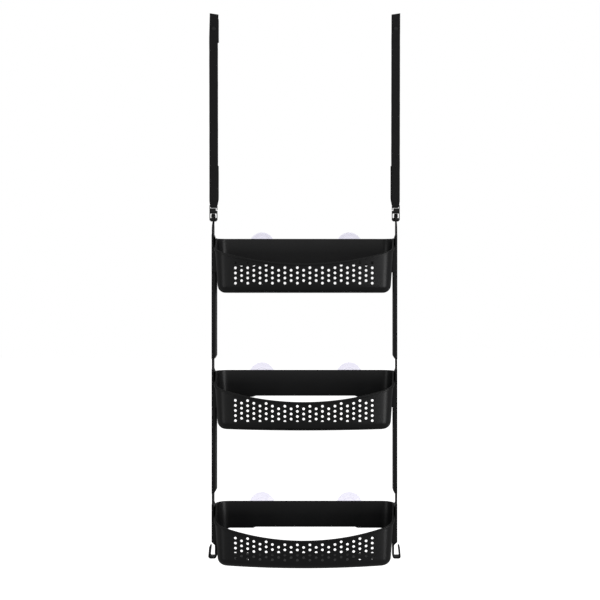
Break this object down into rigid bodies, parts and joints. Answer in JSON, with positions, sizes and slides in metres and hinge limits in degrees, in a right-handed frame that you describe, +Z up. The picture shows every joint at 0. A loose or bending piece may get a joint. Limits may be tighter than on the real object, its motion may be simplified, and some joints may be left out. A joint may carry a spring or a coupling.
{
  "type": "over-door shower caddy",
  "caption": "Tiered shower caddy of bow-fronted perforated baskets, hung from a door top by webbing straps, with suction cups and towel hooks.",
  "frame": {"origin": "the door's top front edge: the height of the door hooks' underside, in the plane of the straps, midway between the two hooks", "axes": "+Z up, +Y from the baskets' front towards the door, +X to the right of someone facing the baskets"},
  "size_m": [0.2892, 0.1301, 0.8264],
  "materials": {
    "black_plastic": "fine moulded satin",
    "webbing": "woven polypropylene webbing",
    "coated_steel": "black powder coat",
    "clear_vinyl": "soft clear vinyl with a lavender cast"
  },
  "bodies": {
    "door_hooks": {"door_hook_left": "coated_steel", "door_hook_right": "coated_steel", "strap_rivet_left": "coated_steel", "strap_rivet_right": "coated_steel", "strap_top_left": "webbing", "strap_top_right": "webbing"},
    "straps": {"strap_left": "webbing", "strap_right": "webbing", "strap_clip_left": "black_plastic", "strap_clip_right": "black_plastic"},
    "top_tier": {"basket_top": "black_plastic", "hanger_top_left": "black_plastic", "hanger_top_right": "black_plastic", "connector_upper_left": "black_plastic", "connector_upper_right": "black_plastic"},
    "middle_tier": {"basket_middle": "black_plastic", "hanger_middle_left": "black_plastic", "hanger_middle_right": "black_plastic", "connector_lower_left": "black_plastic", "connector_lower_right": "black_plastic"},
    "bottom_tier": {"basket_bottom": "black_plastic", "hanger_bottom_left": "black_plastic", "hanger_bottom_right": "black_plastic", "towel_hook_left": "black_plastic", "towel_hook_right": "black_plastic"},
    "suction_cup_top_left": {"suction_cup_top_left": "clear_vinyl"},
    "suction_cup_top_right": {"suction_cup_top_right": "clear_vinyl"},
    "suction_cup_middle_left": {"suction_cup_middle_left": "clear_vinyl"},
    "suction_cup_middle_right": {"suction_cup_middle_right": "clear_vinyl"},
    "suction_cup_bottom_left": {"suction_cup_bottom_left": "clear_vinyl"},
    "suction_cup_bottom_right": {"suction_cup_bottom_right": "clear_vinyl"}
  },
  "joints": [
    {"name": "strap_swing", "type": "hinge", "parent": "door_hooks", "child": "straps", "pos_m": [0, 0, -0.03045], "axis": [-1, 0, 0], "range_deg": [-12, 30]},
    {"name": "rack_swing", "type": "hinge", "parent": "straps", "child": "top_tier", "pos_m": [0, 0, -0.3098], "axis": [-1, 0, 0], "range_deg": [-30, 30]},
    {"name": "middle_lift", "type": "slide", "parent": "top_tier", "child": "middle_tier", "axis": [0, 0, 1], "range_m": [0, 0.0145]},
    {"name": "bottom_lift", "type": "slide", "parent": "middle_tier", "child": "bottom_tier", "axis": [0, 0, 1], "range_m": [0, 0.0145]},
    {"name": "cup_turn_top_left", "type": "hinge", "parent": "top_tier", "child": "suction_cup_top_left", "pos_m": [-0.068, 0.05, -0.346], "axis": [0, 1, 0], "continuous": true},
    {"name": "cup_turn_top_right", "type": "hinge", "parent": "top_tier", "child": "suction_cup_top_right", "pos_m": [0.068, 0.05, -0.346], "axis": [0, 1, 0], "continuous": true},
    {"name": "cup_turn_middle_left", "type": "hinge", "parent": "middle_tier", "child": "suction_cup_middle_left", "pos_m": [-0.068, 0.05, -0.5484], "axis": [0, 1, 0], "continuous": true},
    {"name": "cup_turn_middle_right", "type": "hinge", "parent": "middle_tier", "child": "suction_cup_middle_right", "pos_m": [0.068, 0.05, -0.5484], "axis": [0, 1, 0], "continuous": true},
    {"name": "cup_turn_bottom_left", "type": "hinge", "parent": "bottom_tier", "child": "suction_cup_bottom_left", "pos_m": [-0.068, 0.05, -0.7508], "axis": [0, 1, 0], "continuous": true},
    {"name": "cup_turn_bottom_right", "type": "hinge", "parent": "bottom_tier", "child": "suction_cup_bottom_right", "pos_m": [0.068, 0.05, -0.7508], "axis": [0, 1, 0], "continuous": true}
  ]
}
